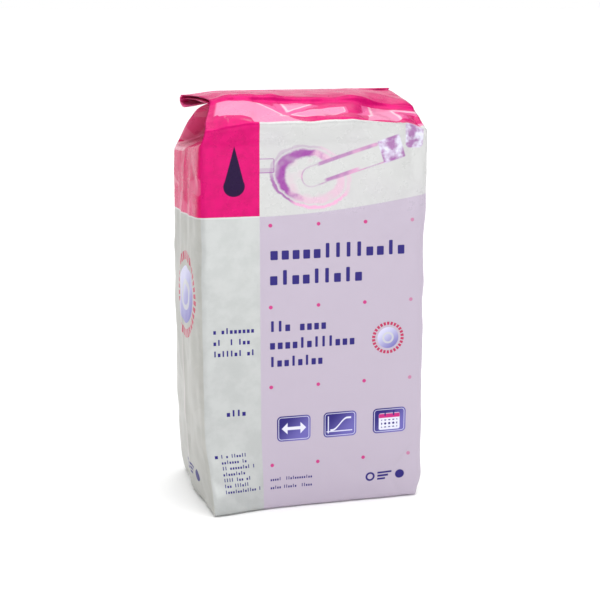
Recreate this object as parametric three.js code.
// Filled side-gusset block-bottom bag, with its top folded over to the back.
// Millimetres, +Z up, front towards -Y, origin at the middle of the base.
import * as THREE from 'three';
import { ConvexGeometry } from 'three/addons/geometries/ConvexGeometry.js';

// Driving dimensions of the filled bag.
const WIDTH = 100;
const DEPTH = 71;
const FRONT_HEIGHT = 175;
const REAR_HEIGHT = 158;
const FRONT_CORNER_HEIGHT = 166;
const BASE_INSET = 2;
const BASE_BEND_HEIGHT = 8;
const SIDE_BULGE = 0.6;

// The film, drawn thicker than the real laminate, and the space kept at each fold.
const FILM = 0.4;
const SEALED_FILM = 0.5;
const CLEARANCE = 0.3;
const FOLD_GAP = 0.8;

// The fold that closes the top, the flap behind it and the heat-sealed strip at its end.
const RIDGE_Y = -18;
const RIDGE_HEIGHT = 184.5;
const RIDGE_WIDTH = 93;
const RIDGE_CLEARANCE = 1.2;
const FLAP_REAR_Y = 15;
const FLAP_TUCK_DEPTH = 33;
const STRIP_LENGTH = 11.5;
const STRIP_REST_ANGLE = THREE.MathUtils.degToRad(200);
const STRIP_HINGE_Y = 15.6;
const STRIP_HINGE_DROP = 1.4;
const STRIP_START = 0.6;

// The block bottom: the cross seal lies behind the middle and its fin is folded forward.
const BOTTOM_SEAM_Y = 10;
const BOTTOM_FIN_WIDTH = 12;
const BOTTOM_TUCK_DEPTH = 33;
const BACK_FIN_WIDTH = 10;
const BACK_FIN_X = 6;

const HALF_WIDTH = WIDTH / 2;
const FRONT_Y = -DEPTH / 2;
const BACK_FIN_Y = DEPTH / 2;
const REAR_Y = BACK_FIN_Y - FILM - CLEARANCE;
const BASE_HALF_WIDTH = HALF_WIDTH - BASE_INSET;
const BASE_FRONT_Y = FRONT_Y + BASE_INSET;
const BASE_REAR_Y = REAR_Y - BASE_INSET;
const LAYER_STEP = FILM + CLEARANCE;
const TUCK_BASE_Z = 2 * LAYER_STEP;
const WALL_BASE_Z = TUCK_BASE_Z + LAYER_STEP;
const RIDGE_HALF_WIDTH = RIDGE_WIDTH / 2;

const MAGENTA = { color: 0xd4147a, roughness: 0.3, metalness: 0.35 };
const LILAC = { color: 0xcfc2dc, roughness: 0.35, metalness: 0.2 };
const SILVER = { color: 0xc9cdcb, roughness: 0.45, metalness: 0.6 };
const SEALED = { color: 0xd8508f, roughness: 0.35, metalness: 0.4 };
const POWDER = { color: 0xe9d3dc, roughness: 0.95, metalness: 0 };

const bag = new THREE.Group();

function addMesh(name, geometry, finish) {
  const mesh = new THREE.Mesh(geometry, new THREE.MeshStandardMaterial(finish));
  mesh.name = name;
  bag.add(mesh);
  return mesh;
}

function point(x, y, z) {
  return new THREE.Vector3(x, y, z);
}

// Moves a point a set distance towards another one.
function towards(from, to, distance) {
  return from.clone().add(to.clone().sub(from).setLength(distance));
}

function mirrored(line) {
  return line.map((p) => point(-p.x, p.y, p.z));
}

// Shortens a line at its two ends.
function trimmed(line, startGap, endGap) {
  const last = line.length - 1;
  const inner = line.slice(1, last);
  return [towards(line[0], line[1], startGap), ...inner, towards(line[last], line[last - 1], endGap)];
}

// Normal of the face that meets a grid point, averaged over the faces around it.
function gridNormal(left, right, row) {
  const below = Math.max(row - 1, 0);
  const above = Math.min(row + 1, left.length - 1);
  const up = left[above].clone().add(right[above]).sub(left[below]).sub(right[below]);
  return right[row].clone().sub(left[row]).cross(up).normalize();
}

// A film panel between two fold lines. Seen from outside, the first line is on the left.
// The panel's outer face lies on the lines and its thickness goes inwards.
function filmPanel(name, leftLine, rightLine, finish, gaps = {}) {
  const { left = FOLD_GAP, right = FOLD_GAP, start = FOLD_GAP, end = FOLD_GAP } = gaps;
  const leftTrimmed = trimmed(leftLine, start, end);
  const rightTrimmed = trimmed(rightLine, start, end);
  const leftEdge = leftTrimmed.map((p, row) => towards(p, rightTrimmed[row], left));
  const rightEdge = rightTrimmed.map((p, row) => towards(p, leftTrimmed[row], right));
  const rows = leftEdge.length;
  const corners = [];
  for (let row = 0; row < rows; row += 1) {
    const inward = gridNormal(leftEdge, rightEdge, row).multiplyScalar(-FILM);
    const outer = [leftEdge[row], rightEdge[row]];
    corners.push(...outer, ...outer.map((p) => p.clone().add(inward)));
  }
  const index = [];
  const quad = (a, b, c, d) => index.push(a, b, c, a, c, d);
  for (let row = 0; row < rows - 1; row += 1) {
    const low = 4 * row;
    const high = low + 4;
    quad(low, low + 1, high + 1, high);
    quad(low + 2, high + 2, high + 3, low + 3);
    quad(low + 1, low + 3, high + 3, high + 1);
    quad(low + 2, low, high, high + 2);
  }
  const top = 4 * (rows - 1);
  quad(2, 3, 1, 0);
  quad(top, top + 1, top + 3, top + 2);
  const geometry = new THREE.BufferGeometry().setFromPoints(corners);
  geometry.setIndex(index);
  return addMesh(name, geometry, finish);
}

// A flat plate with its outline in X and Y, standing on a given height.
function flatPlate(name, outline, baseZ, thickness, finish) {
  const shape = new THREE.Shape(outline.map(([x, y]) => new THREE.Vector2(x, y)));
  const geometry = new THREE.ExtrudeGeometry(shape, { depth: thickness, bevelEnabled: false });
  geometry.translate(0, 0, baseZ);
  return addMesh(name, geometry, finish);
}

// A profile drawn in Y and Z, run along X over the whole of a width.
function crosswisePlate(name, outline, width, finish) {
  const shape = new THREE.Shape(outline.map(([y, z]) => new THREE.Vector2(y, z)));
  const geometry = new THREE.ExtrudeGeometry(shape, { depth: width, bevelEnabled: false });
  geometry.rotateX(Math.PI / 2);
  geometry.rotateZ(Math.PI / 2);
  geometry.translate(-width / 2, 0, 0);
  return addMesh(name, geometry, finish);
}

// Fold lines of the left side, from the base upwards. The right side mirrors them.
const frontCorner = point(-HALF_WIDTH, FRONT_Y, FRONT_CORNER_HEIGHT);
const rearCorner = point(-HALF_WIDTH, REAR_Y, REAR_HEIGHT);
const sideTop = frontCorner.clone().lerp(rearCorner, 0.5);
const frontBend = point(-HALF_WIDTH + 1, FRONT_Y, FRONT_HEIGHT);
const frontRidgeEnd = point(-RIDGE_HALF_WIDTH, RIDGE_Y - RIDGE_CLEARANCE, RIDGE_HEIGHT - RIDGE_CLEARANCE);
const rearRidgeEnd = point(-RIDGE_HALF_WIDTH, RIDGE_Y + RIDGE_CLEARANCE, RIDGE_HEIGHT - 2 * RIDGE_CLEARANCE);
const tuckApex = point(-HALF_WIDTH + FLAP_TUCK_DEPTH, RIDGE_Y + 1, RIDGE_HEIGHT - 4.5);

function wallLine(x, y, baseX, baseY, top) {
  return [point(baseX, baseY, WALL_BASE_Z), point(x, y, BASE_BEND_HEIGHT), top];
}
const frontEdge = wallLine(-HALF_WIDTH, FRONT_Y, -BASE_HALF_WIDTH, BASE_FRONT_Y, frontCorner);
const rearEdge = wallLine(-HALF_WIDTH, REAR_Y, -BASE_HALF_WIDTH, BASE_REAR_Y, rearCorner);
const sideCrease = wallLine(-HALF_WIDTH - SIDE_BULGE, 0, -BASE_HALF_WIDTH, 0, sideTop);

function addPowder() {
  const inset = LAYER_STEP + 0.2;
  const lowZ = WALL_BASE_Z;
  const frontTop = point(-HALF_WIDTH + 17, FRONT_Y, FRONT_HEIGHT - 1);
  const outline = [
    point(-BASE_HALF_WIDTH, BASE_FRONT_Y, lowZ),
    point(-BASE_HALF_WIDTH, BASE_REAR_Y, lowZ),
    point(-HALF_WIDTH, FRONT_Y, BASE_BEND_HEIGHT),
    point(-HALF_WIDTH, REAR_Y, BASE_BEND_HEIGHT),
    frontCorner.clone().setZ(FRONT_CORNER_HEIGHT - 1.5),
    rearCorner.clone().setZ(REAR_HEIGHT - 1.5),
    frontTop,
    tuckApex.clone().setZ(tuckApex.z - 2),
  ].map((p) => point(p.x + inset, p.y - Math.sign(p.y) * inset, p.z));
  addMesh('powder_fill', new ConvexGeometry([...outline, ...mirrored(outline)]), POWDER);
}

function addWalls() {
  const frontLine = [...frontEdge.slice(0, 2), frontBend];
  filmPanel('front_panel', frontLine, mirrored(frontLine), LILAC);
  filmPanel('back_panel', mirrored(rearEdge), rearEdge, SILVER);
  filmPanel('left_gusset_front', sideCrease, frontEdge, SILVER);
  filmPanel('left_gusset_rear', rearEdge, sideCrease, SILVER);
  filmPanel('right_gusset_front', mirrored(frontEdge), mirrored(sideCrease), SILVER);
  filmPanel('right_gusset_rear', mirrored(sideCrease), mirrored(rearEdge), SILVER);
  const finBase = BASE_BEND_HEIGHT + 2;
  const finTop = REAR_HEIGHT - 2;
  const finLine = (x) => [point(x, BACK_FIN_Y, finBase), point(x, BACK_FIN_Y, finTop)];
  const noGap = { left: 0.01, right: 0.01, start: 0.01, end: 0.01 };
  const finLeftX = BACK_FIN_X + BACK_FIN_WIDTH;
  filmPanel('back_seam_fin', finLine(finLeftX), finLine(BACK_FIN_X), SILVER, noGap);
}

function addShoulders() {
  const frontSlope = [frontBend, frontRidgeEnd];
  const rearSlope = [rearCorner, rearRidgeEnd];
  const shoulderGaps = { left: 1, right: 1, start: FOLD_GAP, end: 0.4 };
  filmPanel('front_shoulder', frontSlope, mirrored(frontSlope), MAGENTA, shoulderGaps);
  filmPanel('rear_shoulder', mirrored(rearSlope), rearSlope, MAGENTA, shoulderGaps);
}

// Each end of the top tucks in as a gable triangle between two folded side triangles.
// The side triangles lie just inside the front and rear shoulders and stop short of the ridge.
function addTopTucks() {
  const inside = (line, y, z) => line.map((p) => point(p.x + 1, p.y + y, p.z + z));
  const frontFold = inside([frontCorner, frontBend, frontRidgeEnd], 1.3, -1);
  const frontDiagonal = [frontCorner, frontCorner.clone().lerp(tuckApex, 0.4), tuckApex];
  const rearFold = inside([rearCorner, rearRidgeEnd], -0.4, -1.5);
  const rearDiagonal = [rearCorner, tuckApex];
  const gableFront = [frontCorner, tuckApex];
  const gableGaps = { left: 1.4, right: 1.4, start: FOLD_GAP, end: 7 };
  const frontGaps = { left: 1.6, right: 0.4, start: 7.5, end: 9 };
  const rearGaps = { left: 0.4, right: 1.6, start: 12, end: 12 };
  filmPanel('left_gable_tuck', rearDiagonal, gableFront, MAGENTA, gableGaps);
  filmPanel('right_gable_tuck', mirrored(gableFront), mirrored(rearDiagonal), MAGENTA, gableGaps);
  filmPanel('left_front_tuck', frontDiagonal, frontFold, MAGENTA, frontGaps);
  filmPanel('right_front_tuck', mirrored(frontFold), mirrored(frontDiagonal), MAGENTA, swapped(frontGaps));
  filmPanel('left_rear_tuck', rearFold, rearDiagonal, MAGENTA, rearGaps);
  filmPanel('right_rear_tuck', mirrored(rearDiagonal), mirrored(rearFold), MAGENTA, swapped(rearGaps));
}

function swapped(gaps) {
  return { ...gaps, left: gaps.right, right: gaps.left };
}

// The front fold steps over the fin that lies under it, so the whole base is level.
function addBottom() {
  const halfWidth = BASE_HALF_WIDTH - FOLD_GAP;
  const frontY = BASE_FRONT_Y + FOLD_GAP;
  const rearY = BASE_REAR_Y - FOLD_GAP;
  const finFrontY = BOTTOM_SEAM_Y - BOTTOM_FIN_WIDTH;
  const seamFrontY = BOTTOM_SEAM_Y - CLEARANCE;
  const stepOuterY = finFrontY - CLEARANCE;
  const frontOutline = [
    [frontY, 0],
    [stepOuterY, 0],
    [stepOuterY, LAYER_STEP],
    [seamFrontY, LAYER_STEP],
    [seamFrontY, LAYER_STEP + FILM],
    [stepOuterY - FILM, LAYER_STEP + FILM],
    [stepOuterY - FILM, FILM],
    [frontY, FILM],
  ];
  const strip = (fromY, toY) => [[fromY, 0], [toY, 0], [toY, FILM], [fromY, FILM]];
  crosswisePlate('bottom_front_fold', frontOutline, 2 * halfWidth, SILVER);
  crosswisePlate('bottom_seal_fin', strip(finFrontY, seamFrontY), 2 * halfWidth, SILVER);
  crosswisePlate('bottom_rear_fold', strip(BOTTOM_SEAM_Y, rearY), 2 * halfWidth, SILVER);
  for (const [name, side] of [['bottom_left_tuck', -1], ['bottom_right_tuck', 1]]) {
    const outline = [
      [side * halfWidth, frontY + 1],
      [side * halfWidth, rearY - 1],
      [side * (halfWidth - BOTTOM_TUCK_DEPTH), BOTTOM_SEAM_Y + 1],
      [side * (halfWidth - BOTTOM_TUCK_DEPTH), BOTTOM_SEAM_Y - 1],
    ];
    flatPlate(name, outline, TUCK_BASE_Z, FILM, SILVER);
  }
}

// The flap is the flattened top of the tube: two films with the side tucks between them.
function addFlap() {
  const frontY = RIDGE_Y + 0.4;
  const filmOutline = [
    [-RIDGE_HALF_WIDTH, frontY],
    [RIDGE_HALF_WIDTH, frontY],
    [HALF_WIDTH, FLAP_REAR_Y],
    [-HALF_WIDTH, FLAP_REAR_Y],
  ];
  const innerZ = RIDGE_HEIGHT - LAYER_STEP - FILM / 2;
  flatPlate('flap_rear_film', filmOutline, innerZ, FILM, MAGENTA);
  flatPlate('flap_front_film', filmOutline, innerZ + 2 * LAYER_STEP, FILM, MAGENTA);
  for (const [name, side] of [['flap_left_tuck', -1], ['flap_right_tuck', 1]]) {
    const outline = [
      [side * (RIDGE_HALF_WIDTH - 1), frontY + 1],
      [side * (HALF_WIDTH - 1), FLAP_REAR_Y],
      [side * (HALF_WIDTH - FLAP_TUCK_DEPTH), FLAP_REAR_Y],
      [side * (HALF_WIDTH - FLAP_TUCK_DEPTH), frontY + 1],
    ];
    flatPlate(name, outline, innerZ + LAYER_STEP, FILM, MAGENTA);
  }
}

// The sealed strip hangs from the flap's rear edge and is curled under it.
function addSealStrip() {
  const geometry = new THREE.BoxGeometry(WIDTH, STRIP_LENGTH - STRIP_START, SEALED_FILM);
  geometry.translate(0, (STRIP_LENGTH + STRIP_START) / 2, 0);
  const strip = addMesh('top_seal_strip', geometry, SEALED);
  strip.rotation.x = STRIP_REST_ANGLE;
  strip.position.set(0, STRIP_HINGE_Y, RIDGE_HEIGHT - STRIP_HINGE_DROP);
}

addPowder();
addWalls();
addShoulders();
addTopTucks();
addBottom();
addFlap();
addSealStrip();

export default bag;
